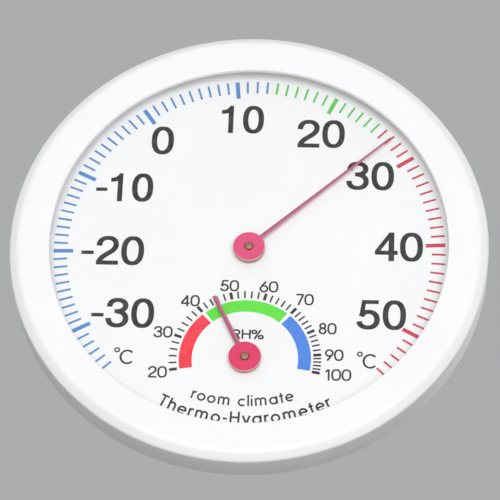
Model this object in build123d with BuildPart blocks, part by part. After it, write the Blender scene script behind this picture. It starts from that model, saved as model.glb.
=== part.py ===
from build123d import *
import os
from math import cos, pi, sin

# Dial thermometer and hygrometer in a round plastic case, with a wall keyhole and a fold-out leg.
# Millimetres. +X is to the dial's right, +Z is up to 12 o'clock, and the dial looks along -Y.
# The flat back lies on Y = 0. A "depth" is the distance out from that back towards the viewer,
# so it is -Y, and face_plane(depth) is the plane there, seen as the dial is seen.

# Case, lens and dial
bezel_r = 67.8              # outer radius of the front ring
opening_r = 56.4            # the round opening over the dial
skirt_back = 9.0            # depth of the ring's rear edge
wall_top = 18.2             # where the ring's straight wall meets its sloping shoulder
front_depth = 20.0          # the ring's highest point
lens_r = 60.6
lens_back = 16.9
lens_thick = 1.2
case_r = 61.4
floor_thick = 2.2
dial_face = 13.7            # depth of the printed face
dial_thick = 1.0
dial_r = 59.2
vent_width = 2.2
vent_length = 9.0
vent_rings = ((48.0, 30, 30.0), (31.0, 20, 50.0))   # radius, places round, clear angle below
clear_above = 14.0

# Keyhole for a wall screw
key_height = 44.0
key_head_r = 3.5
key_slot_r = 1.8
key_travel = 7.0

# Fold-out leg: two arms, a brace and a foot, hinged level with the dial's centre
leg_length = 57.6
leg_thick = 3.0
leg_back = 0.2
arm_x = 13.5
arm_width = 4.0
foot_height = 7.0
brace_height = 3.0
brace_z = -13.5
pocket_gap = 0.5
pocket_depth = 3.4
pocket_wall = 1.4
finger_width = 16.0
finger_height = 6.6
hinge_r = 1.2
hinge_clearance = 0.08
hinge_length = 1.6

# Movements: each shaft runs from an adjuster in the back to the pointer's hub
temperature_z = 0.0
humidity_z = -34.5
arbor_r = 1.15
pivot_r = 0.8
fit_gap = 0.05
adjuster_r = 4.2
adjuster_gap = 0.08
adjuster_back = 0.3
driver_slot = 1.1
flange_r = 6.0
flange_back = floor_thick + 0.15
flange_front = 3.5
pivot_depth = 2.3
stud_at = 12.4
stud_r = 0.8
arm_end_r = 1.9
coil_back = 5.2
coil_front = 8.2
collet_r = 2.4
bridge_back = 9.2
bridge_thick = 1.0
bridge_width = 8.0
boss_x = 16.5
boss_r = 2.6
screw_r = 0.8
screw_length = 3.2
screw_head_r = 1.6
screw_head = 1.0
bush_r = 2.2
bush_length = 3.0
bush_flange = 0.6
hub_r = 4.25
hub_gap = 0.4
pointer_thick = 0.35

# Readings at rest, and the dial angles of the major marks, anticlockwise from 3 o'clock
temperature_now = 27.2
temperature_marks = {-35: 223.95, -30: 208.8, -20: 181.4, -10: 154.0, 0: 125.2, 10: 95.5,
                     20: 64.6, 30: 33.7, 40: 2.6, 50: -29.0, 55: -44.8}
humidity_now = 45.2
humidity_marks = {20: 190.0, 30: 160.2, 40: 130.7, 50: 102.9, 60: 75.5, 70: 49.3,
                  80: 26.0, 90: 4.8, 100: -10.6}


def face_plane(depth, height=0.0):
    """The plane at a depth, with its origin on the shaft at a height on the dial."""
    return Plane(origin=(0, -depth, height), x_dir=(1, 0, 0), z_dir=(0, -1, 0))


def side_plane(x):
    """The plane at X, with Y to its right and Z up."""
    return Plane.YZ.offset(x)


def reading_angle(marks, value):
    """The dial angle of a reading, between its two nearest major marks."""
    low = max(mark for mark in marks if mark <= value)
    high = min(mark for mark in marks if mark > low)
    share = (value - low) / (high - low)
    return marks[low] + share * (marks[high] - marks[low])


def keep(piece, name):
    """Label one finished piece and write its STEP file."""
    piece.part.label = name
    export_step(piece.part, f"parts/{name}.step")


def turned(height, steps):
    """Coaxial discs and rings about a shaft, as (from depth, to depth, radius, bore radius)."""
    with BuildPart() as stack:
        for back, front, radius, bore in steps:
            with BuildSketch(face_plane(back, height)):
                Circle(radius)
                if bore:
                    Circle(bore, mode=Mode.SUBTRACT)
            extrude(amount=front - back)
    return stack


def leg_shape(plane, grow, top):
    """The leg's outline, or that of the pocket around it when grown, up to a top height."""
    with BuildSketch(plane) as shape:
        for side in (-1, 1):
            with Locations((side * arm_x, (top - leg_length - grow) / 2)):
                Rectangle(arm_width + 2 * grow, leg_length + grow + top)
        with Locations((0, foot_height / 2 - leg_length)):
            Rectangle(2 * arm_x + arm_width + 2 * grow, foot_height + 2 * grow)
        with Locations((0, brace_z)):
            Rectangle(2 * arm_x + arm_width + 2 * grow, brace_height + 2 * grow)
        Circle(leg_length + grow, mode=Mode.INTERSECT)
    return shape.sketch


def spiral_end(turns, thickness, side):
    """One side of a spiral strip, from its collet out to its stud at 12 o'clock."""
    inner = collet_r + thickness / 2 + 0.03
    outer = stud_at - stud_r - thickness / 2 - 0.03
    count = int(turns * 16)
    points = []
    for step in range(count + 1):
        share = step / count
        angle = pi / 2 - 2 * pi * turns * (1 - share)
        radius = inner + (outer - inner) * share + side * thickness / 2
        points.append((radius * cos(angle), radius * sin(angle)))
    return points


os.makedirs("parts", exist_ok=True)
section = Plane(origin=(0, 0, 0), x_dir=(1, 0, 0), z_dir=(0, 0, -1))
shoulder_r = bezel_r - 2.6
rim_r = opening_r + 0.4
lens_front = lens_back + lens_thick
case_wall_r = case_r - floor_thick
flange_case_r = bezel_r - 2.5
flange_case_back = skirt_back + 0.7
flange_case_front = flange_case_back + 1.4
rib_r = lens_r + 0.3
hinge_depth = leg_back + leg_thick / 2
hinge_pocket_top = leg_thick / 2 + 0.6
hinge_block = 4.5
hinge_block_x = arm_x + arm_width / 2 + hinge_block / 2
finger_z = foot_height - leg_length + finger_height / 2

# Front ring: a shell with a sloping shoulder, a lip over the lens, and a rib that centres lens and case
with BuildPart() as front_bezel:
    with BuildSketch(section):
        with BuildLine():
            ThreePointArc((bezel_r - 0.6, skirt_back), (bezel_r - 0.18, skirt_back + 0.18),
                          (bezel_r, skirt_back + 0.6))
            FilletPolyline((bezel_r, skirt_back + 0.6), (bezel_r, wall_top),
                           (shoulder_r, front_depth), (rim_r, front_depth - 0.55),
                           radius=(0.7, 1.5))
            ThreePointArc((rim_r, front_depth - 0.55), (rim_r - 0.28, front_depth - 0.67),
                          (opening_r, front_depth - 0.95))
            Polyline((opening_r, front_depth - 0.95), (opening_r, lens_front), (rib_r, lens_front),
                     (rib_r, flange_case_front), (rib_r + 1.4, flange_case_front),
                     (rib_r + 1.4, lens_front - 0.6), (bezel_r - 3.0, lens_front - 0.6),
                     (bezel_r - 2.2, lens_front - 1.6), (bezel_r - 2.2, skirt_back),
                     (bezel_r - 0.6, skirt_back))
        make_face()
    revolve(axis=Axis.Y)
    with BuildSketch(face_plane(skirt_back)):
        with PolarLocations(bezel_r - 2.9, 6, start_angle=30):
            Rectangle(1.6, 14)
    extrude(amount=0.65)
keep(front_bezel, "front_bezel")

with BuildPart() as lens:
    with BuildSketch(face_plane(lens_back)):
        Circle(lens_r)
    extrude(amount=lens_thick)
keep(lens, "lens")

# Rear case: a pan with a ledge for the dial, a wall under the lens and a flange for the ring
with BuildPart() as rear_case:
    with BuildSketch(section):
        with BuildLine():
            Polyline((0, 0), (case_r - 1.2, 0))
            ThreePointArc((case_r - 1.2, 0), (case_r - 0.35, 0.35), (case_r, 1.2))
            Polyline((case_r, 1.2), (case_r, flange_case_back), (flange_case_r, flange_case_back),
                     (flange_case_r, flange_case_front), (rib_r - 0.2, flange_case_front),
                     (rib_r - 0.2, lens_back), (dial_r + 0.2, lens_back),
                     (dial_r + 0.2, dial_face - dial_thick), (dial_r - 1.6, dial_face - dial_thick),
                     (dial_r - 1.6, dial_face - dial_thick - 1.3), (case_wall_r, 9.0),
                     (case_wall_r, floor_thick), (0, floor_thick), (0, 0))
        make_face()
    revolve(axis=Axis.Y)
    extrude(to_extrude=leg_shape(face_plane(floor_thick), pocket_gap + pocket_wall,
                                 hinge_pocket_top + pocket_wall),
            amount=pocket_depth + pocket_wall - floor_thick)
    with BuildSketch(face_plane(floor_thick)):
        with Locations((-hinge_block_x, 0), (hinge_block_x, 0)):
            Rectangle(hinge_block, 2 * hinge_block - 1)
        with Locations((0, finger_z)):
            Rectangle(finger_width + 2 * pocket_wall, finger_height + 2 * pocket_wall)
    extrude(amount=pocket_depth + pocket_wall - floor_thick)
    extrude(to_extrude=leg_shape(face_plane(0), pocket_gap, hinge_pocket_top),
            amount=pocket_depth, mode=Mode.SUBTRACT)
    with BuildSketch(face_plane(0)):
        with Locations((0, finger_z)):
            Rectangle(finger_width, finger_height)
    extrude(amount=pocket_depth, mode=Mode.SUBTRACT)
    for side in (-1, 1):
        with BuildSketch(side_plane(side * (arm_x + arm_width / 2))):
            with Locations((-hinge_depth, 0)):
                Circle(hinge_r + hinge_clearance)
        extrude(amount=side * (pocket_gap + hinge_length + 0.2), mode=Mode.SUBTRACT)
    with BuildSketch(face_plane(0)):
        for height in (temperature_z, humidity_z):
            with Locations((0, height)):
                Circle(adjuster_r + adjuster_gap)
        with Locations((0, key_height)):
            Circle(key_head_r)
        with Locations((0, key_height + key_travel / 2)):
            Rectangle(2 * key_slot_r, key_travel)
        with Locations((0, key_height + key_travel)):
            Circle(key_slot_r)
        for ring_r, count, clear_below in vent_rings:
            for number in range(count):
                angle = number * 360 / count + 6
                from_bottom = abs((angle - 90) % 360 - 180)
                if clear_below < from_bottom < 180 - clear_above:
                    with PolarLocations(ring_r, 1, start_angle=angle):
                        SlotOverall(vent_length, vent_width)
    extrude(amount=floor_thick, mode=Mode.SUBTRACT)
keep(rear_case, "rear_case")

# Dial plate with a boss behind for each bridge screw
with BuildPart() as dial_plate:
    with BuildSketch(face_plane(dial_face - dial_thick)):
        Circle(dial_r)
        with Locations((0, temperature_z), (0, humidity_z)):
            Circle(1.7, mode=Mode.SUBTRACT)
    extrude(amount=dial_thick)
    boss_back = bridge_back + bridge_thick
    with BuildSketch(face_plane(boss_back)):
        for height in (temperature_z, humidity_z):
            with Locations((-boss_x, height), (boss_x, height)):
                Circle(boss_r)
                Circle(screw_r, mode=Mode.SUBTRACT)
    extrude(amount=dial_face - dial_thick - boss_back)
keep(dial_plate, "dial_plate")

# Small pan-head screws that hold the two bridges, one group
with BuildPart() as bridge_screws:
    for height in (temperature_z, humidity_z):
        with BuildSketch(face_plane(bridge_back - screw_head, height)):
            with Locations((-boss_x, 0), (boss_x, 0)):
                Circle(screw_head_r)
        extrude(amount=screw_head)
        with BuildSketch(face_plane(bridge_back, height)):
            with Locations((-boss_x, 0), (boss_x, 0)):
                Circle(screw_r)
        extrude(amount=screw_length)
        with BuildSketch(face_plane(bridge_back - screw_head, height)):
            with Locations((-boss_x, 0), (boss_x, 0)):
                Rectangle(screw_head / 2, 1.4 * screw_head_r)
                Rectangle(1.4 * screw_head_r, screw_head / 2)
        extrude(amount=screw_head / 2, mode=Mode.SUBTRACT)
keep(bridge_screws, "bridge_screws")

# Fold-out leg with a barrel and a trunnion on each arm
with BuildPart() as stand_leg:
    extrude(to_extrude=leg_shape(face_plane(leg_back), 0.0, 0.0), amount=leg_thick)
    for side in (-1, 1):
        with BuildSketch(side_plane(side * (arm_x - arm_width / 2))):
            with Locations((-hinge_depth, 0)):
                Circle(leg_thick / 2)
        extrude(amount=side * arm_width)
        with BuildSketch(side_plane(side * (arm_x + arm_width / 2))):
            with Locations((-hinge_depth, 0)):
                Circle(hinge_r)
        extrude(amount=side * (pocket_gap + hinge_length))
keep(stand_leg, "stand_leg")


def movement(name, height, coil_turns, coil_thick, pointer_front, pin_front):
    """The sprung shaft of one scale: adjuster, stud, coil, collet, arbor, bush, bridge and hub."""
    with BuildPart() as adjuster:
        with BuildSketch(face_plane(adjuster_back, height)):
            Circle(adjuster_r)
        extrude(amount=flange_back - adjuster_back)
        with BuildSketch(face_plane(flange_back, height)):
            Circle(flange_r)
            with Locations((0, stud_at / 2)):
                Rectangle(arm_end_r * 2, stud_at)
            with Locations((0, stud_at)):
                Circle(arm_end_r)
                Circle(stud_r, mode=Mode.SUBTRACT)
        extrude(amount=flange_front - flange_back)
        with BuildSketch(face_plane(adjuster_back, height)):
            Rectangle(6 * driver_slot, driver_slot)
        extrude(amount=driver_slot, mode=Mode.SUBTRACT)
        with BuildSketch(face_plane(pivot_depth - 0.3, height)):
            Circle(pivot_r + fit_gap)
        extrude(amount=flange_front, mode=Mode.SUBTRACT)
    keep(adjuster, f"{name}_adjuster")

    with BuildPart() as stud:
        with BuildSketch(face_plane(flange_back, height)):
            with Locations((0, stud_at)):
                Circle(stud_r)
        extrude(amount=coil_front + 0.3 - flange_back)
    keep(stud, f"{name}_coil_stud")

    with BuildPart() as coil:
        with BuildSketch(face_plane(coil_back, height)):
            with BuildLine():
                outside = spiral_end(coil_turns, coil_thick, 1)
                inside = spiral_end(coil_turns, coil_thick, -1)
                Spline(*outside)
                Spline(*inside)
                Line(outside[0], inside[0])
                Line(outside[-1], inside[-1])
            make_face()
        extrude(amount=coil_front - coil_back)
    keep(coil, f"{name}_coil")

    collet = turned(height, [(coil_back - 0.2, coil_front + 0.2, collet_r, arbor_r)])
    keep(collet, f"{name}_collet")

    arbor = turned(height, [(pivot_depth, pivot_depth + 1.7, pivot_r, 0),
                            (pivot_depth + 1.7, pin_front, arbor_r, 0)])
    with arbor:
        fillet(arbor.edges().sort_by(Axis.Y)[0], 0.35)
    keep(arbor, f"{name}_arbor")

    bush = turned(height, [(bridge_back - bush_flange, bridge_back, bush_r + 0.8,
                            arbor_r + fit_gap),
                           (bridge_back, bridge_back + bush_length, bush_r, arbor_r + fit_gap)])
    keep(bush, f"{name}_bush")

    with BuildPart() as bridge:
        with BuildSketch(face_plane(bridge_back, height)):
            SlotOverall(2 * boss_x + bridge_width, bridge_width)
            Circle(bush_r, mode=Mode.SUBTRACT)
            with Locations((-boss_x, 0), (boss_x, 0)):
                Circle(screw_r + 0.1, mode=Mode.SUBTRACT)
        extrude(amount=bridge_thick)
    keep(bridge, f"{name}_bridge")

    hub = turned(height, [(dial_face + hub_gap, pointer_front - pointer_thick, hub_r, arbor_r)])
    keep(hub, f"{name}_pointer_hub")


def pointer(name, height, front, disc_r, angle, length, root_width, tip_width):
    """A painted sheet pointer: a disc on its hub with a tapered needle at the reading."""
    needle = Vector(cos(angle * pi / 180), 0, sin(angle * pi / 180))
    back = face_plane(front - pointer_thick, height)
    along = Plane(back.origin, x_dir=needle, z_dir=back.z_dir)
    with BuildPart() as sheet:
        with BuildSketch(along):
            with BuildLine():
                Polyline((disc_r - 0.6, root_width / 2), (length, tip_width / 2),
                         (length, -tip_width / 2), (disc_r - 0.6, -root_width / 2), close=True)
            make_face()
            Circle(disc_r)
            Circle(arbor_r + 0.3, mode=Mode.SUBTRACT)
        extrude(amount=pointer_thick)
    keep(sheet, f"{name}_pointer")


temperature_front = dial_face + 2.4
humidity_front = dial_face + 2.0
movement("temperature", temperature_z, 5.0, 0.4, temperature_front, dial_face + 2.9)
movement("humidity", humidity_z, 6.0, 0.3, humidity_front, dial_face + 2.6)
pointer("temperature", temperature_z, temperature_front, 4.5,
        reading_angle(temperature_marks, temperature_now), 53.7, 1.7, 0.75)
pointer("humidity", humidity_z, humidity_front, 4.55,
        reading_angle(humidity_marks, humidity_now), 20.8, 1.7, 1.35)
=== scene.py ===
from math import ceil, cos, hypot, pi, radians, sin

import bmesh
import bpy
from mathutils import Matrix, Vector
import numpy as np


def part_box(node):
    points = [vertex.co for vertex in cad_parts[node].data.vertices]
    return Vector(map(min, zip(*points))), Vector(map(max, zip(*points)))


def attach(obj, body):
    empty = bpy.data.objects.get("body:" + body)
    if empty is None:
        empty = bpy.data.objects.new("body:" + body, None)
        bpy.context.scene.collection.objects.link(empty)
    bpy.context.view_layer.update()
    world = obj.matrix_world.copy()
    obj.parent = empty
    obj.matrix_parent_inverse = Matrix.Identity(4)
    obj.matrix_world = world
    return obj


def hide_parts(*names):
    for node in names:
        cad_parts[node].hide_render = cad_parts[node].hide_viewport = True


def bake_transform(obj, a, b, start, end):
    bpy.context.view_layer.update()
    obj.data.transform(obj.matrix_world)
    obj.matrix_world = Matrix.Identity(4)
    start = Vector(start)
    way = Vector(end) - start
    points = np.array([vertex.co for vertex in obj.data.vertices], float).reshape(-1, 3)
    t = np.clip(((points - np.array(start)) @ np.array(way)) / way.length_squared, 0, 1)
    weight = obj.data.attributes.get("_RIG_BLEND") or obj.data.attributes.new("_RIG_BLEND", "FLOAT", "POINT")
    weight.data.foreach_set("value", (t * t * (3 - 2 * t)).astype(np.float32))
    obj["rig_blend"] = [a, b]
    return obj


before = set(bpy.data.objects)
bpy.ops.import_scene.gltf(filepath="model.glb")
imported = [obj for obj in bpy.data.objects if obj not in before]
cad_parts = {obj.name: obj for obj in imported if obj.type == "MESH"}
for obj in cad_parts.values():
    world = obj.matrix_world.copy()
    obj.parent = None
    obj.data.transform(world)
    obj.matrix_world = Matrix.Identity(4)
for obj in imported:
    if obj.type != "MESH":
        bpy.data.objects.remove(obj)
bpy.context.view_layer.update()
MM = 0.001

# The dial as it is read: x to the right, y up, and "out" towards the viewer from the printed face.
# These come from the frame; all are in millimetres.
FACE_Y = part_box("dial_plate")[0].y / MM
SHAFTS = {name: (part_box(f"{name}_pointer_hub")[0].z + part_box(f"{name}_pointer_hub")[1].z) / 2 / MM
          for name in ("temperature", "humidity")}

# Dial angles of the major marks, anticlockwise from 3 o'clock. The marks between are evenly spaced.
TEMPERATURE_MARKS = {-35: 223.95, -30: 208.8, -20: 181.4, -10: 154.0, 0: 125.2, 10: 95.5,
                     20: 64.6, 30: 33.7, 40: 2.6, 50: -29.0, 55: -44.8}
HUMIDITY_MARKS = {20: 190.0, 30: 160.2, 40: 130.7, 50: 102.9, 60: 75.5, 70: 49.3,
                  80: 26.0, 90: 4.8, 100: -10.6}

TEMPERATURE_READING = 27.2
HUMIDITY_READING = 45.2

# The print, in millimetres. Each pair is an inner and an outer radius from the scale's own shaft.
DEGREE_TICKS = (51.8, 55.7)
TEN_DEGREE_TICKS = (50.1, 55.7)
PERCENT_TICKS = (19.1, 21.3)
HUMIDITY_BANDS = (14.85, 18.45)
COMFORT_DEGREES = (14, 26)      # the marks are blue below these readings, green between, red from the upper

# Each number on the dial: its text, left edge, baseline and width
LARGE_NUMERALS = (
    ("10", -9.9, 38.3, 12.75), ("20", 12.6, 33.85, 13.9), ("30", 27.15, 20.1, 13.75),
    ("40", 35.5, -2.85, 13.9), ("50", 30.9, -24.55, 13.9), ("0", -29.6, 30.85, 6.6),
    ("-10", -44.9, 15.1, 16.6), ("-20", -47.9, -5.5, 18.1), ("-30", -43.9, -25.3, 17.95))
SMALL_NUMERALS = (
    ("20", -26.9, -40.65, 5.4), ("30", -25.9, -28.2, 5.4), ("40", -18.7, -18.25, 5.4),
    ("50", -7.8, -13.3, 5.4), ("60", 3.3, -13.45, 5.4), ("70", 13.6, -17.3, 5.2),
    ("80", 20.2, -26.3, 5.2), ("90", 22.2, -34.5, 5.3), ("100", 22.2, -40.6, 7.6))
UNIT_SIDES = (-35.8, 32.0)      # the two degree signs


def mark_angle(marks, value):
    """The dial angle of a reading, in radians, between its two nearest major marks."""
    low = max(mark for mark in marks if mark <= value)
    high = min((mark for mark in marks if mark > low), default=low)
    share = (value - low) / (high - low) if high > low else 0
    return radians(marks[low] + share * (marks[high] - marks[low]))


def place(x, y, out):
    """A point of the dial, in millimetres, as a point of the frame, in metres."""
    return Vector((x * MM, (FACE_Y - out) * MM, y * MM))


# ---------------------------------------------------------------- materials


def new_material(name, colour, roughness, metallic=0.0):
    """A Principled material and the nodes it is built from."""
    material = bpy.data.materials.new(name)
    material.use_nodes = True
    nodes, links = material.node_tree.nodes, material.node_tree.links
    shader = nodes["Principled BSDF"]
    shader.inputs["Base Color"].default_value = (*colour, 1)
    shader.inputs["Roughness"].default_value = roughness
    shader.inputs["Metallic"].default_value = metallic
    return material, nodes, links, shader


def noise(nodes, links, scale, detail=3.0, stretch=(1, 1, 1)):
    """A noise texture in the piece's own coordinates, with features per metre."""
    where = nodes.new("ShaderNodeTexCoord")
    mapping = nodes.new("ShaderNodeMapping")
    mapping.inputs["Scale"].default_value = stretch
    texture = nodes.new("ShaderNodeTexNoise")
    texture.inputs["Scale"].default_value = scale
    texture.inputs["Detail"].default_value = detail
    links.new(where.outputs["Object"], mapping.inputs["Vector"])
    links.new(mapping.outputs["Vector"], texture.inputs["Vector"])
    return texture


def vary_colour(nodes, links, shader, texture, low, high):
    """Base colour between two colours, by a texture."""
    ramp = nodes.new("ShaderNodeValToRGB")
    ramp.color_ramp.elements[0].position = 0.3
    ramp.color_ramp.elements[1].position = 0.7
    ramp.color_ramp.elements[0].color = (*low, 1)
    ramp.color_ramp.elements[1].color = (*high, 1)
    links.new(texture.outputs["Fac"], ramp.inputs["Fac"])
    links.new(ramp.outputs["Color"], shader.inputs["Base Color"])


def vary_roughness(nodes, links, shader, texture, low, high):
    """Roughness between two values, by a texture."""
    spread = nodes.new("ShaderNodeMapRange")
    spread.inputs["To Min"].default_value = low
    spread.inputs["To Max"].default_value = high
    links.new(texture.outputs["Fac"], spread.inputs["Value"])
    links.new(spread.outputs["Result"], shader.inputs["Roughness"])


def add_bump(nodes, links, shader, texture, height_mm, strength=0.5):
    """Surface relief from a texture, its height in millimetres."""
    bump = nodes.new("ShaderNodeBump")
    bump.inputs["Strength"].default_value = strength
    bump.inputs["Distance"].default_value = height_mm * MM
    links.new(texture.outputs["Fac"], bump.inputs["Height"])
    links.new(bump.outputs["Normal"], shader.inputs["Normal"])


def moulded_plastic(name, colour, roughness, relief=0.02):
    """Injection-moulded plastic: very fine relief, and slight changes of tone and gloss."""
    material, nodes, links, shader = new_material(name, colour, roughness)
    tone = noise(nodes, links, 40, 2)
    vary_colour(nodes, links, shader, tone, [c * 0.975 for c in colour], colour)
    vary_roughness(nodes, links, shader, noise(nodes, links, 160, 4), roughness - 0.05, roughness + 0.06)
    add_bump(nodes, links, shader, noise(nodes, links, 2600, 1), relief, 0.15)
    return material


def printed_ink(name, colour):
    """Screen-printed ink, a little uneven in density."""
    material, nodes, links, shader = new_material(name, colour, 0.5)
    shader.inputs["Specular IOR Level"].default_value = 0.15
    lighter = [c + (1 - c) * 0.045 for c in colour]
    vary_colour(nodes, links, shader, noise(nodes, links, 900, 3), colour, lighter)
    return material


def metal(name, colour, roughness, grain=700, stretch=(1, 1, 1), relief=0.01):
    """Bare metal with fine tool marks and patches of dullness."""
    material, nodes, links, shader = new_material(name, colour, roughness, 1.0)
    marks = noise(nodes, links, grain, 4, stretch)
    dull = [c * 0.8 for c in colour]
    vary_colour(nodes, links, shader, noise(nodes, links, 260, 3), dull, colour)
    vary_roughness(nodes, links, shader, marks, roughness - 0.08, roughness + 0.1)
    add_bump(nodes, links, shader, marks, relief, 0.5)
    return material


def clear_pane(name):
    """A clear flat pane: seen straight through, with a faint mirror that grows at a slant."""
    material = bpy.data.materials.new(name)
    material.use_nodes = True
    nodes, links = material.node_tree.nodes, material.node_tree.links
    nodes.clear()
    output = nodes.new("ShaderNodeOutputMaterial")
    clear = nodes.new("ShaderNodeBsdfTransparent")
    clear.inputs["Color"].default_value = (0.995, 0.997, 1, 1)
    mirror = nodes.new("ShaderNodeBsdfGlossy")
    mirror.inputs["Roughness"].default_value = 0.03
    slant = nodes.new("ShaderNodeLayerWeight")
    slant.inputs["Blend"].default_value = 0.5
    steep = nodes.new("ShaderNodeMath")
    steep.operation = "POWER"
    steep.inputs[1].default_value = 5
    share = nodes.new("ShaderNodeMapRange")
    share.inputs["To Min"].default_value = 0.025
    share.inputs["To Max"].default_value = 1.0
    mix = nodes.new("ShaderNodeMixShader")
    links.new(slant.outputs["Facing"], steep.inputs[0])
    links.new(steep.outputs["Value"], share.inputs["Value"])
    links.new(share.outputs["Result"], mix.inputs["Fac"])
    links.new(clear.outputs["BSDF"], mix.inputs[1])
    links.new(mirror.outputs["BSDF"], mix.inputs[2])
    links.new(mix.outputs["Shader"], output.inputs["Surface"])
    return material


WHITE_PLASTIC = moulded_plastic("white_plastic", (0.92, 0.905, 0.915), 0.34)
DIAL_WHITE = moulded_plastic("dial_white", (0.96, 0.96, 0.95), 0.55, 0.008)
GREY_PLASTIC = moulded_plastic("grey_plastic", (0.42, 0.43, 0.44), 0.45)
POINTER_PAINT = {
    "temperature": moulded_plastic("pointer_paint_light", (0.8, 0.08, 0.21), 0.36, 0.012),
    "humidity": moulded_plastic("pointer_paint_deep", (0.78, 0.035, 0.13), 0.36, 0.012),
}
# Painted shade and painted highlight: a darker and a lighter copy of the needle's pink, one for each top facet of
# its ridge.
NEEDLE_PAINTED_SHADE = moulded_plastic("pointer_needle_painted_shade", (0.4, 0.1, 0.18), 0.42, 0.012)
NEEDLE_PAINTED_HIGHLIGHT = moulded_plastic("pointer_needle_painted_highlight", (0.6, 0.18, 0.28), 0.42, 0.012)
# Painted shade: a darker red for the pointers' sides and bevels and for the dish round the pin.
POINTER_EDGE_PAINTED_SHADE = moulded_plastic("pointer_edge_painted_shade", (0.5, 0.05, 0.13), 0.5, 0.012)
# Painted highlight: a pale pink, not metal, for the bright line along the pointer disc's rim.
DISC_RIM_PAINTED_HIGHLIGHT = moulded_plastic("pointer_rim_painted_highlight", (0.95, 0.78, 0.73), 0.35, 0.012)
INK = {
    "dark": printed_ink("ink_dark", (0.02, 0.022, 0.021)),
    "blue": printed_ink("ink_blue", (0.07, 0.24, 0.78)),
    "green": printed_ink("ink_green", (0.12, 0.78, 0.045)),
    "red": printed_ink("ink_red", (0.92, 0.035, 0.06)),
    "tick_blue": printed_ink("ink_tick_blue", (0.09, 0.27, 0.6)),
    "tick_green": printed_ink("ink_tick_green", (0.14, 0.6, 0.1)),
    "tick_red": printed_ink("ink_tick_red", (0.62, 0.055, 0.1)),
}
BRASS = metal("brass", (0.66, 0.45, 0.25), 0.42)
HUB_BRASS = metal("brass_turned", (0.5, 0.3, 0.2), 0.38, 1500)
PIN_BRASS = metal("brass_dull", (0.44, 0.26, 0.17), 0.55, 1500)
STEEL = metal("steel", (0.6, 0.6, 0.61), 0.35, stretch=(1, 1, 9))
BIMETAL = metal("bimetal", (0.66, 0.44, 0.3), 0.38, stretch=(1, 6, 1))
HUMIDITY_STRIP = metal("humidity_strip", (0.7, 0.62, 0.42), 0.48, stretch=(1, 6, 1))
CLEAR = clear_pane("clear_lens")


def dress(node, material):
    """Give a CAD node its finished material."""
    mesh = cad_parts[node].data
    mesh.materials.clear()
    mesh.materials.append(material)


# ---------------------------------------------------------------- mesh making


def finished(name, bm, material, body, replaced=()):
    """Turn a bmesh into a piece that rides on a body, and may stand for CAD nodes."""
    bmesh.ops.remove_doubles(bm, verts=bm.verts, dist=1e-8)
    bmesh.ops.recalc_face_normals(bm, faces=bm.faces)
    mesh = bpy.data.meshes.new(name)
    bm.to_mesh(mesh)
    bm.free()
    for coat in material if isinstance(material, (list, tuple)) else [material]:
        mesh.materials.append(coat)
    piece = bpy.data.objects.new(name, mesh)
    bpy.context.scene.collection.objects.link(piece)
    if body:
        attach(piece, body)
    if replaced:
        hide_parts(*replaced)
    return piece


def smooth(piece, degrees=35):
    """Shade smooth where faces meet at less than an angle."""
    piece.data.shade_smooth()
    bm = bmesh.new()
    bm.from_mesh(piece.data)
    for edge in bm.edges:
        if len(edge.link_faces) == 2 and edge.calc_face_angle() > radians(degrees):
            edge.smooth = False
    bm.to_mesh(piece.data)
    bm.free()
    return piece


def turn(bm, profile, centre_y, steps):
    """Turn a closed profile of (radius, out) points about a shaft at a height on the dial."""
    rings = []
    for step in range(steps):
        angle = 2 * pi * step / steps
        rings.append([bm.verts.new(place(r * cos(angle), centre_y + r * sin(angle), out))
                      for r, out in profile])
    for step in range(steps):
        here, after = rings[step], rings[(step + 1) % steps]
        for i in range(len(profile)):
            j = (i + 1) % len(profile)
            bm.faces.new((here[i], here[j], after[j], after[i]))


def arc(cx, cy, rx, ry, start, end, count):
    """Points along an ellipse's arc, the angles in degrees."""
    angles = [radians(start + (end - start) * i / count) for i in range(count + 1)]
    return [(cx + rx * cos(a), cy + ry * sin(a)) for a in angles]


def bezier(p0, p1, p2, p3, count=9):
    """Points along a cubic curve."""
    points = []
    for i in range(count + 1):
        t = i / count
        weights = ((1 - t) ** 3, 3 * t * (1 - t) ** 2, 3 * t * t * (1 - t), t ** 3)
        points.append(tuple(sum(w * p[k] for w, p in zip(weights, (p0, p1, p2, p3))) for k in (0, 1)))
    return points


def curved(*points):
    """A chain of cubic curves through every third point."""
    chain = [points[0]]
    for i in range(0, len(points) - 1, 3):
        chain += bezier(*points[i:i + 4])[1:]
    return chain


def slab(bm, outline, back, front):
    """A thin closed prism over a convex outline of (x, y) points."""
    low = [bm.verts.new(place(x, y, back)) for x, y in outline]
    high = [bm.verts.new(place(x, y, front)) for x, y in outline]
    bm.faces.new(low)
    bm.faces.new(high)
    for i in range(len(outline)):
        j = (i + 1) % len(outline)
        bm.faces.new((low[i], low[j], high[j], high[i]))


def ribbon(bm, points, wide, thin, back, front, closed=False):
    """A pen stroke as a thin closed prism: wide where it runs up, thin where it runs across."""
    sides = []
    count = len(points)
    for i, (x, y) in enumerate(points):
        before = points[(i - 1) % count] if closed or i else points[0]
        after = points[(i + 1) % count] if closed or i < count - 1 else points[-1]
        dx, dy = after[0] - before[0], after[1] - before[1]
        length = hypot(dx, dy)
        nx, ny = -dy / length, dx / length
        half = (thin + (wide - thin) * abs(nx)) / 2
        sides.append([bm.verts.new(place(x + s * nx * half, y + s * ny * half, out))
                      for s, out in ((1, back), (-1, back), (-1, front), (1, front))])
    for i in range(count if closed else count - 1):
        here, after = sides[i], sides[(i + 1) % count]
        for k in range(4):
            m = (k + 1) % 4
            bm.faces.new((here[k], here[m], after[m], after[k]))
    if not closed:
        bm.faces.new(sides[0])
        bm.faces.new(sides[-1])


# ---------------------------------------------------------------- the dial's print

INK_BACK = 0.004            # the ink lies on the face
INK_FRONT = 0.03
INK_STEP = 0.004            # crossing strokes of one character never share a surface


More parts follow.
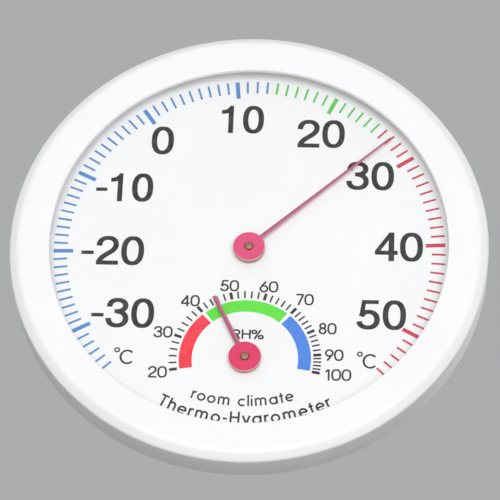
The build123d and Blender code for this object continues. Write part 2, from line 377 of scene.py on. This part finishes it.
def oval(cx, cy, rx, ry, power=2.0, count=44):
    """A closed rounded outline, squarer than an ellipse for a power over 2."""
    points = []
    for i in range(count):
        a = 2 * pi * i / count
        c, s = cos(a), sin(a)
        points.append((cx + rx * abs(c) ** (2 / power) * (1 if c > 0 else -1),
                       cy + ry * abs(s) ** (2 / power) * (1 if s > 0 else -1)))
    return points


# Strokes of each character in units of its capital height, from the baseline's left end:
# ("line", points), ("ring", points) for a closed stroke, or ("fill", points) for a solid.
# The strokes run along the middle of the pen.
NUMERALS = {
    "0": (0.695, [("ring", oval(0.3475, 0.5, 0.257, 0.438, 2.35))]),
    "1": (0.695, [("fill", [(0.27, 0), (0.435, 0), (0.435, 1), (0.27, 1 - 0.2)]),
                  ("fill", [(0.27, 0.79), (0.435, 0.79), (0.435, 1), (0.31, 1), (0.285, 0.93),
                            (0.27, 0.88)]),
                  ("line", curved((0.045, 0.765), (0.15, 0.77), (0.25, 0.77), (0.36, 0.9)))]),
    "2": (0.695, [("line", curved((0.09, 0.66), (0.09, 0.85), (0.2, 0.937), (0.355, 0.937),
                                  (0.49, 0.937), (0.59, 0.85), (0.59, 0.71), (0.59, 0.57),
                                  (0.5, 0.49), (0.37, 0.4), (0.21, 0.29), (0.115, 0.21),
                                  (0.105, 0.06))),
                  ("fill", [(0.02, 0), (0.675, 0), (0.675, 0.142), (0.02, 0.142)])]),
    "3": (0.695, [("line", curved((0.1, 0.7), (0.1, 0.855), (0.195, 0.937), (0.335, 0.937),
                                  (0.475, 0.937), (0.575, 0.865), (0.575, 0.745), (0.575, 0.625),
                                  (0.47, 0.55), (0.33, 0.55), (0.31, 0.55), (0.28, 0.55),
                                  (0.255, 0.55))),
                  ("line", curved((0.33, 0.535), (0.49, 0.535), (0.595, 0.44), (0.595, 0.295),
                                  (0.595, 0.155), (0.485, 0.063), (0.34, 0.063), (0.17, 0.063),
                                  (0.08, 0.16), (0.078, 0.315)))]),
    "4": (0.695, [("fill", [(0.42, 0), (0.585, 0), (0.585, 1), (0.42, 1)]),
                  ("fill", [(0.02, 0.22), (0.69, 0.22), (0.69, 0.36), (0.02, 0.36)]),
                  ("fill", [(0.02, 0.35), (0.175, 0.35), (0.5, 0.85), (0.44, 1)])]),
    "5": (0.695, [("fill", [(0.15, 0.87), (0.635, 0.87), (0.635, 1), (0.15, 1)]),
                  ("fill", [(0.075, 0.455), (0.215, 0.475), (0.262, 0.88), (0.15, 1)]),
                  ("line", curved((0.135, 0.44), (0.175, 0.55), (0.25, 0.598), (0.345, 0.598),
                                  (0.495, 0.598), (0.592, 0.49), (0.592, 0.335), (0.592, 0.17),
                                  (0.49, 0.063), (0.33, 0.063), (0.18, 0.063), (0.08, 0.14),
                                  (0.073, 0.27)))]),
    "-": (0.4, [("fill", [(0.02, 0.36), (0.385, 0.36), (0.385, 0.48), (0.02, 0.48)])]),
}


def bowl(cx, cy, r):
    """A round closed stroke."""
    return ("ring", oval(cx, cy, r, r, 2.0, 32))


def arch(left, right, top, foot):
    """A round-topped stroke from the left stem, over, and down to the foot."""
    middle, r = (left + right) / 2, (right - left) / 2
    return ("line", arc(middle, top - r, r, r, 180, 0, 14) + [(right, foot)])


# A light, geometric hand for the small lettering, drawn the same way.
LETTERS = {
    "0": (0.74, [("ring", oval(0.37, 0.5, 0.29, 0.44, 2.5))]),
    "1": (0.5, [("line", [(0.33, 0), (0.33, 0.985)]), ("line", [(0.1, 0.76), (0.31, 0.94)])]),
    "2": (0.7, NUMERALS["2"][1][:1] + [("line", [(0.04, 0.06), (0.66, 0.06)])]),
    "3": (0.7, NUMERALS["3"][1]),
    "4": (0.72, [("line", [(0.5, 0), (0.5, 0.985)]), ("line", [(0.03, 0.26), (0.68, 0.26)]),
                 ("line", [(0.49, 0.93), (0.07, 0.29)])]),
    "5": (0.7, [("line", [(0.18, 0.94), (0.62, 0.94)]), ("line", [(0.215, 0.94), (0.13, 0.5)]),
                NUMERALS["5"][1][2]]),
    "6": (0.7, [bowl(0.35, 0.32, 0.265), ("line", [(0.5, 0.99), (0.13, 0.46)])]),
    "7": (0.66, [("line", [(0.05, 0.94), (0.62, 0.94)]), ("line", [(0.58, 0.93), (0.22, 0)])]),
    "8": (0.7, [bowl(0.35, 0.74, 0.2), bowl(0.35, 0.29, 0.235)]),
    "9": (0.7, [bowl(0.35, 0.68, 0.265), ("line", [(0.2, 0.01), (0.57, 0.54)])]),
    "R": (0.72, [("line", [(0.1, 0), (0.1, 1)]), ("line", [(0.1, 0.94), (0.38, 0.94)]
                 + arc(0.38, 0.72, 0.2, 0.22, 90, -90, 12) + [(0.1, 0.5)]),
                 ("line", [(0.36, 0.48), (0.6, 0)])]),
    "H": (0.8, [("line", [(0.1, 0), (0.1, 1)]), ("line", [(0.68, 0), (0.68, 1)]),
                ("line", [(0.1, 0.53), (0.68, 0.53)])]),
    "%": (1.0, [bowl(0.22, 0.77, 0.17), bowl(0.74, 0.22, 0.17),
                ("line", [(0.24, 0), (0.72, 1)])]),
    "C": (0.9, [("line", arc(0.47, 0.5, 0.42, 0.445, 42, 318, 26))]),
    "T": (0.62, [("line", [(0.0, 0.94), (0.6, 0.94)]), ("line", [(0.3, 0), (0.3, 0.94)])]),
    "h": (0.64, [("line", [(0.1, 0), (0.1, 1)]), arch(0.1, 0.54, 0.66, 0)]),
    "e": (0.7, [("line", [(0.62, 0.35)] + arc(0.35, 0.33, 0.28, 0.28, 4, 312, 24)),
                ("line", [(0.08, 0.33), (0.64, 0.33)])]),
    "r": (0.4, [("line", [(0.1, 0), (0.1, 0.69)]), ("line", arc(0.34, 0.4, 0.24, 0.24, 180, 80, 8))]),
    "m": (1.02, [("line", [(0.1, 0), (0.1, 0.69)]), arch(0.1, 0.5, 0.66, 0),
                 arch(0.5, 0.9, 0.66, 0)]),
    "o": (0.72, [bowl(0.36, 0.33, 0.28)]),
    "-": (0.42, [("line", [(0.06, 0.37), (0.36, 0.37)])]),
    "y": (0.6, [("line", [(0.05, 0.69), (0.31, 0.06)]), ("line", [(0.56, 0.69), (0.18, -0.28)])]),
    "g": (0.74, [bowl(0.36, 0.33, 0.28), ("line", [(0.64, 0.69), (0.64, 0.02)]
                 + arc(0.37, -0.02, 0.27, 0.24, 0, -150, 12))]),
    "t": (0.4, [("line", [(0.2, 0), (0.2, 0.9)]), ("line", [(0.04, 0.63), (0.36, 0.63)])]),
    "c": (0.66, [("line", arc(0.36, 0.33, 0.28, 0.28, 48, 312, 20))]),
    "l": (0.24, [("line", [(0.12, 0), (0.12, 1)])]),
    "i": (0.24, [("line", [(0.12, 0), (0.12, 0.67)]), ("line", [(0.12, 0.84), (0.12, 0.96)])]),
    "a": (0.74, [bowl(0.36, 0.33, 0.28), ("line", [(0.64, 0), (0.64, 0.69)])]),
    " ": (0.4, []),
}


def draw(bm, glyph, height, to_dial, wide, thin):
    """Draw one character's strokes at a height, each point put on the dial by to_dial."""
    for layer, (kind, points) in enumerate(glyph[1]):
        placed = [to_dial(x * height, y * height) for x, y in points]
        front = INK_FRONT + layer * INK_STEP
        if kind == "fill":
            slab(bm, placed, INK_BACK, front)
        else:
            ribbon(bm, placed, wide, thin, INK_BACK, front, closed=kind == "ring")


def write(bm, text, glyphs, left, base, height, width, wide, thin, gap=0.0):
    """Write a line of text in a box of the given left, baseline, height and width."""
    natural = (sum(glyphs[c][0] for c in text) + gap * (len(text) - 1)) * height
    squeeze = width / natural
    at = left
    for c in text:
        draw(bm, glyphs[c], height, lambda x, y, at=at: (at + x * squeeze, base + y), wide, thin)
        at += (glyphs[c][0] + gap) * height * squeeze


def write_round(bm, text, glyphs, base_r, middle, span, height, pen):
    """Write text along the foot of a circle about the dial's centre, its tops to the centre."""
    natural = sum(glyphs[c][0] for c in text)
    at = -natural / 2
    for c in text:
        half = glyphs[c][0] / 2
        angle = radians(middle + (at + half) / natural * span)

        def to_dial(x, y, angle=angle, half=half):
            along, up = x - half * height, base_r - y
            return (up * cos(angle) - along * sin(angle), up * sin(angle) + along * cos(angle))

        draw(bm, glyphs[c], height, to_dial, pen, pen)
        at += glyphs[c][0]


def tick(bm, centre_y, angle, inner, outer, width):
    """A radial mark."""
    c, s = cos(angle), sin(angle)
    corners = ((inner, -width), (outer, -width), (outer, width), (inner, width))
    slab(bm, [(r * c - w / 2 * s, centre_y + r * s + w / 2 * c) for r, w in corners],
         INK_BACK, INK_FRONT)


def band(bm, centre_y, start, end, inner, outer):
    """A coloured arc of the humidity scale."""
    middle = (inner + outer) / 2
    points = arc(0, centre_y, middle, middle, start, end, ceil(abs(end - start) / 3))
    ribbon(bm, points, outer - inner, outer - inner, INK_BACK, INK_FRONT)


def print_temperature_scale(inks):
    """The outer scale: a mark for each degree, a wider and longer one at each ten."""
    cool, warm = COMFORT_DEGREES
    for degree in range(-35, 56):
        colour = "tick_blue" if degree < cool else "tick_green" if degree < warm else "tick_red"
        angle = mark_angle(TEMPERATURE_MARKS, degree)
        if degree % 10:
            tick(inks[colour], 0, angle, *DEGREE_TICKS, 0.6)
        else:
            tick(inks[colour], 0, angle, *TEN_DEGREE_TICKS, 1.2)


def print_humidity_scale(inks):
    """The small scale: a mark for each two percent, a wider one at each ten, and three bands."""
    centre = SHAFTS["humidity"]
    for percent in range(20, 101, 2):
        angle = mark_angle(HUMIDITY_MARKS, percent)
        bold = percent % 10 == 0
        tick(inks["dark"], centre, angle, *PERCENT_TICKS, 0.85 if bold else 0.48)
    for colour, start, end in (("red", 190.5, 131.9), ("green", 129.0, 51.8), ("blue", 48.4, -10.2)):
        band(inks[colour], centre, start, end, *HUMIDITY_BANDS)


def print_text(dark):
    """The numbers, the units and two lines of generic words round the dial's foot."""
    for text, left, base, width in LARGE_NUMERALS:
        write(dark, text, NUMERALS, left, base, 9.2, width, 1.58, 1.26, 0.05)
    for text, left, base, width in SMALL_NUMERALS:
        write(dark, text, LETTERS, left, base, 3.5, width, 0.54, 0.5)
    write(dark, "RH%", LETTERS, -3.85, -28.2, 2.9, 9.0, 0.52, 0.48)
    for side in UNIT_SIDES:
        ribbon(dark, oval(side, -32.3, 0.62, 0.62, 2, 20), 0.42, 0.42, INK_BACK, INK_FRONT, True)
        write(dark, "C", LETTERS, side + 0.85, -36.7, 4.5, 4.0, 0.6, 0.54)
    write_round(dark, "room climate", LETTERS, 48.9, -90.3, 35, 3.4, 0.5)
    write_round(dark, "Thermo-Hygrometer", LETTERS, 54.4, -89.5, 53.7, 3.75, 0.56)


def print_dial():
    """All the print, one piece for each ink."""
    inks = {name: bmesh.new() for name in INK}
    print_temperature_scale(inks)
    print_humidity_scale(inks)
    print_text(inks["dark"])
    for name, bm in inks.items():
        finished(f"dial_print_{name}", bm, INK[name], "case")


# ---------------------------------------------------------------- ring, lens and case


RING_OPENING_R = 56.4
TAB_COUNT = 6               # snap tabs that reach inwards at the ring's back


def front_ring():
    """The rounded front ring, its lip and the hollow behind, in fine steps."""
    low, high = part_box("front_bezel")
    outer = high.x / MM
    front = FACE_Y - low.y / MM
    back = FACE_Y - high.y / MM
    lens_front = FACE_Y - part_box("lens")[0].y / MM
    lens_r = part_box("lens")[1].x / MM
    skirt_inner = outer - 2.2
    groove_outer = outer - 3.0
    groove_front = lens_front - 0.6
    rib_inner, rib_outer = lens_r + 0.3, lens_r + 1.7
    rib_back = back + 2.1
    shoulder = outer - 2.6
    opening = RING_OPENING_R
    back_round, lip_round = 0.6, 0.38
    profile = [(skirt_inner, back)]
    profile += arc(outer - back_round, back + back_round, back_round, back_round, -90, 0, 5)
    profile += bezier((outer, front - 2.3), (outer, front - 1.95), (outer - 0.15, front - 1.65),
                      (outer - 0.42, front - 1.42), 6)
    profile += bezier((shoulder + 0.75, front - 0.5), (shoulder + 0.3, front - 0.18),
                      (shoulder - 0.2, front - 0.02), (shoulder - 0.9, front - 0.03), 8)
    profile += bezier((shoulder - 3, front - 0.1), (shoulder - 5, front - 0.24),
                      (opening + 2.5, front - 0.4), (opening + 0.4, front - 0.55), 6)
    profile += arc(opening + lip_round, front - 0.55 - lip_round, lip_round, lip_round, 90, 180, 5)
    profile += [(opening, lens_front), (rib_inner, lens_front), (rib_inner, rib_back),
                (rib_outer, rib_back), (rib_outer, groove_front), (groove_outer, groove_front),
                (skirt_inner, groove_front - 1.0)]
    bm = bmesh.new()
    turn(bm, profile, 0, 240)
    tab_inner, tab_outer, tab_half, tab_depth = outer - 3.7, outer - 2.1, 7, 0.65
    for number in range(TAB_COUNT):
        middle = radians(30 + 360 / TAB_COUNT * number)
        corners = ((tab_inner, -tab_half), (tab_outer, -tab_half),
                   (tab_outer, tab_half), (tab_inner, tab_half))
        slab(bm, [(r * cos(middle) - w * sin(middle), r * sin(middle) + w * cos(middle))
                  for r, w in corners], back, back + tab_depth)
    smooth(finished("front_ring", bm, WHITE_PLASTIC, "case", ["front_bezel"]))


def window():
    """The flat clear window, with softened edges."""
    low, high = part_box("lens")
    radius = high.x / MM
    back, front = FACE_Y - high.y / MM, FACE_Y - low.y / MM
    edge = 0.15
    rims = [(radius - edge, back), (radius, back + edge), (radius, front - edge),
            (radius - edge, front)]
    bm = bmesh.new()
    steps = 160
    rings = []
    for r, out in rims:
        rings.append([bm.verts.new(place(r * cos(2 * pi * i / steps), r * sin(2 * pi * i / steps), out))
                      for i in range(steps)])
    for below, above in zip(rings, rings[1:]):
        for i in range(steps):
            j = (i + 1) % steps
            bm.faces.new((below[i], below[j], above[j], above[i]))
    bm.faces.new(rings[0])
    bm.faces.new(rings[-1])
    finished("window", bm, CLEAR, "case", ["lens"])


# ---------------------------------------------------------------- pointers


def pointer(name, disc_r, length, root, tip, reading_marks, reading):
    """A painted pointer: a disc dished round its pin, and a needle with a low ridge along it. Some of its coats
    are painted shade and painted highlight, not colours of the paint itself.
    """
    coats = [POINTER_PAINT[name], POINTER_EDGE_PAINTED_SHADE, DISC_RIM_PAINTED_HIGHLIGHT, NEEDLE_PAINTED_SHADE, NEEDLE_PAINTED_HIGHLIGHT]
    shaded_edge, rim_highlight, ridge_shaded_side, ridge_highlight_side = 1, 2, 3, 4
    low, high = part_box(f"{name}_pointer")
    out_back, out_front = FACE_Y - high.y / MM, FACE_Y - low.y / MM
    pin_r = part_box(f"{name}_arbor")[1].x / MM
    centre_y = SHAFTS[name]
    angle = mark_angle(reading_marks, reading)
    bm = bmesh.new()
    turn(bm, [(pin_r + 0.01, out_back), (disc_r, out_back), (disc_r, out_front - 0.1),
              (disc_r - 0.03, out_front - 0.03), (disc_r - 0.1, out_front),
              (pin_r + 0.24, out_front), (pin_r + 0.17, out_front - 0.05),
              (pin_r + 0.12, out_back + 0.14), (pin_r + 0.01, out_back + 0.12)], centre_y, 96)
    for face in bm.faces:
        middle = face.calc_center_median()
        from_pin = hypot(middle.x, middle.z - centre_y * MM) / MM
        # The disc's outer rim gets the painted highlight coat.
        if from_pin > disc_r - 0.02:
            face.material_index = rim_highlight
        # The dish round the pin gets the painted shade coat.
        elif from_pin < pin_r + 0.22:
            face.material_index = shaded_edge
    c, s = cos(angle), sin(angle)
    ends = []
    for along, half in ((disc_r - 0.5, root / 2), (disc_r + 0.6, root / 2 * 0.92), (length, tip / 2)):
        bevel = half * 0.3
        section = ((-half, out_back + 0.02), (half, out_back + 0.02), (half, out_front - 0.16),
                   (half - bevel, out_front - 0.03), (-half * 0.25, out_front - 0.002),
                   (-half + bevel, out_front - 0.03), (-half, out_front - 0.16))
        ends.append([bm.verts.new(place(along * c - w * s, centre_y + along * s + w * c, out))
                     for w, out in section])
    # One top facet gets painted shade. The other top facet and one bevel get painted highlight. The sides and
    # bottom get the painted shade of the edges.
    coat_of_side = (shaded_edge, shaded_edge, shaded_edge, ridge_shaded_side, ridge_highlight_side,
                    ridge_highlight_side, shaded_edge)
    for here, after in zip(ends, ends[1:]):
        for i, coat in enumerate(coat_of_side):
            j = (i + 1) % len(coat_of_side)
            face = bm.faces.new((here[i], here[j], after[j], after[i]))
            face.material_index = coat
    bm.faces.new(ends[0])
    bm.faces.new(ends[-1])
    piece = finished(f"{name}_needle_and_disc", bm, coats, f"{name}_needle",
                     [f"{name}_pointer"])
    smooth(piece, 20)


def hub(name):
    """The turned brass disc under a pointer."""
    low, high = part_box(f"{name}_pointer_hub")
    out_back, out_front = FACE_Y - high.y / MM - 0.2, FACE_Y - low.y / MM
    radius = high.x / MM + 0.15
    pin_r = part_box(f"{name}_arbor")[1].x / MM
    bm = bmesh.new()
    turn(bm, [(pin_r + 0.01, out_back), (radius - 0.18, out_back), (radius, out_back + 0.15),
              (radius, out_front - 0.5), (radius - 0.07, out_front - 0.44), (radius, out_front - 0.38),
              (radius, out_front - 0.08), (radius - 0.08, out_front), (pin_r + 0.01, out_front)],
         SHAFTS[name], 96)
    smooth(finished(f"{name}_hub", bm, HUB_BRASS, f"{name}_needle", [f"{name}_pointer_hub"]), 30)


def pin(name):
    """The arbor, with its domed end."""
    low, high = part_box(f"{name}_arbor")
    out_back, out_front = FACE_Y - high.y / MM, FACE_Y - low.y / MM
    radius = high.x / MM
    pivot = 0.8
    dome = [(radius, out_front - 0.3)] + arc(radius - 0.25, out_front - 0.3, 0.25, 0.22, 0, 75, 4)
    dome += [(radius * 0.4, out_front - 0.02), (0.02, out_front)]
    bm = bmesh.new()
    profile = [(0.02, out_back), (pivot, out_back), (pivot, out_back + 1.7), (radius, out_back + 1.7)]
    turn(bm, profile + [(max(r, 0.02), out) for r, out in dome], SHAFTS[name], 48)
    smooth(finished(f"{name}_pin", bm, PIN_BRASS, f"{name}_needle", [f"{name}_arbor"]), 30)


# ---------------------------------------------------------------- coils


COLLET_R = 2.4
STRIP_GAP = 0.03            # between the strip's ends and the pieces that hold them
STEPS_PER_TURN = 36


def coil(name, turns, thick, material):
    """A spiral strip that winds up as its needle turns."""
    low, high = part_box(f"{name}_coil")
    out_back, out_front = FACE_Y - high.y / MM, FACE_Y - low.y / MM
    stud_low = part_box(f"{name}_coil_stud")[0].z / MM - SHAFTS[name]
    inner, outer = COLLET_R + thick / 2 + STRIP_GAP, stud_low - thick / 2 - STRIP_GAP
    count = int(turns * STEPS_PER_TURN)
    bm = bmesh.new()
    shares, rings = [], []
    for step in range(count + 1):
        share = step / count
        angle = pi / 2 - 2 * pi * turns * (1 - share)
        radius = inner + (outer - inner) * share
        ring = []
        for r, out in ((radius + thick / 2, out_back), (radius + thick / 2, out_front),
                       (radius - thick / 2, out_front), (radius - thick / 2, out_back)):
            ring.append(bm.verts.new(place(r * cos(angle), SHAFTS[name] + r * sin(angle), out)))
            shares.append(1 - share)
        rings.append(ring)
    for here, after in zip(rings, rings[1:]):
        for k in range(4):
            m = (k + 1) % 4
            bm.faces.new((here[k], here[m], after[m], after[k]))
    bm.faces.new(rings[0])
    bm.faces.new(rings[-1])
    piece = finished(f"{name}_spiral", bm, material, None, [f"{name}_coil"])
    smooth(piece)
    centre = Vector((0, 0, SHAFTS[name] * MM))
    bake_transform(piece, f"{name}_adjustment", f"{name}_needle", start=centre, end=centre + Vector((0.01, 0, 0)))
    weights = piece.data.attributes["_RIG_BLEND"].data       # each point follows its share of the turns
    for point, share in zip(weights, shares):
        point.value = share


# ---------------------------------------------------------------- camera, floor and light

CAMERA_TILT = -28.05        # degrees, from square on to the dial towards its 6 o'clock
CAMERA_SWING = 3.63
CAMERA_ROLL = -1.57
CAMERA_DISTANCE = 837.7
CAMERA_ASIDE = (-0.24, 0.03)
CAMERA_LENS = 212.3
FLOOR_Z = -0.75             # metres, as are all places and sizes of the stage
FLOOR_HALF = 4


def make_camera():
    """The camera below the dial's axis, looking up at it."""
    axis = Vector((cos(radians(CAMERA_SWING)), sin(radians(CAMERA_SWING)), 0))
    turned = Matrix.Rotation(radians(CAMERA_TILT), 3, axis) @ Matrix.Rotation(radians(CAMERA_ROLL), 3, "Z")
    at = -(turned.transposed() @ Vector((*CAMERA_ASIDE, -CAMERA_DISTANCE)))
    dial_to_frame = Matrix(((1, 0, 0), (0, 0, -1), (0, 1, 0)))
    data = bpy.data.cameras.new("camera")
    data.lens = CAMERA_LENS
    data.sensor_width = 36
    data.clip_start = 0.01
    data.clip_end = 20
    camera = bpy.data.objects.new("camera", data)
    bpy.context.scene.collection.objects.link(camera)
    facing = (dial_to_frame @ turned.transposed()).to_quaternion()
    camera.matrix_world = Matrix.LocRotScale(place(*at), facing, None)
    bpy.context.scene.camera = camera


def softbox(name, at, size, watts, colour=(1, 1, 1)):
    """A square soft light at a point, aimed at the dial's centre."""
    data = bpy.data.lights.new(name, "AREA")
    data.shape = "SQUARE"
    data.size = size
    data.energy = watts
    data.color = colour
    light = bpy.data.objects.new(name, data)
    bpy.context.scene.collection.objects.link(light)
    light.location = at
    light.rotation_euler = (-Vector(at)).to_track_quat("-Z", "Y").to_euler()


def make_stage():
    """A plain pale floor well under the hanging dial, a pale surround and soft light."""
    bm = bmesh.new()
    bmesh.ops.create_grid(bm, x_segments=1, y_segments=1, size=FLOOR_HALF)
    mesh = bpy.data.meshes.new("floor")
    bm.to_mesh(mesh)
    bm.free()
    floor = bpy.data.objects.new("floor", mesh)
    floor.location.z = FLOOR_Z
    mesh.materials.append(moulded_plastic("pale_floor", (0.44, 0.44, 0.44), 0.7))
    bpy.context.scene.collection.objects.link(floor)
    world = bpy.data.worlds.new("surround")
    bpy.context.scene.world = world
    world.use_nodes = True
    background = world.node_tree.nodes["Background"]
    background.inputs["Color"].default_value = (0.41, 0.415, 0.425, 1)
    softbox("key", (0.12, -1.44, -0.42), 1.2, 22.4)
    softbox("top", (-0.2, -0.8, 1.3), 1.2, 2)
    softbox("behind", (0.3, 1.2, 0.8), 1.6, 5)
    bpy.context.scene.view_settings.view_transform = "Standard"


# ---------------------------------------------------------------- the whole object

for node in ("rear_case", "stand_leg"):
    dress(node, WHITE_PLASTIC)
dress("dial_plate", DIAL_WHITE)
dress("bridge_screws", STEEL)
for name in ("temperature", "humidity"):
    dress(f"{name}_bridge", STEEL)
    dress(f"{name}_adjuster", GREY_PLASTIC)
    for node in ("bush", "collet", "coil_stud"):
        dress(f"{name}_{node}", BRASS)
    hub(name)
    pin(name)
coil("temperature", 5.0, 0.4, BIMETAL)
coil("humidity", 6.0, 0.3, HUMIDITY_STRIP)
pointer("temperature", 4.5, 53.7, 1.35, 0.5, TEMPERATURE_MARKS, TEMPERATURE_READING)
pointer("humidity", 4.55, 20.8, 1.5, 1.1, HUMIDITY_MARKS, HUMIDITY_READING)
front_ring()
window()
print_dial()
make_stage()
make_camera()
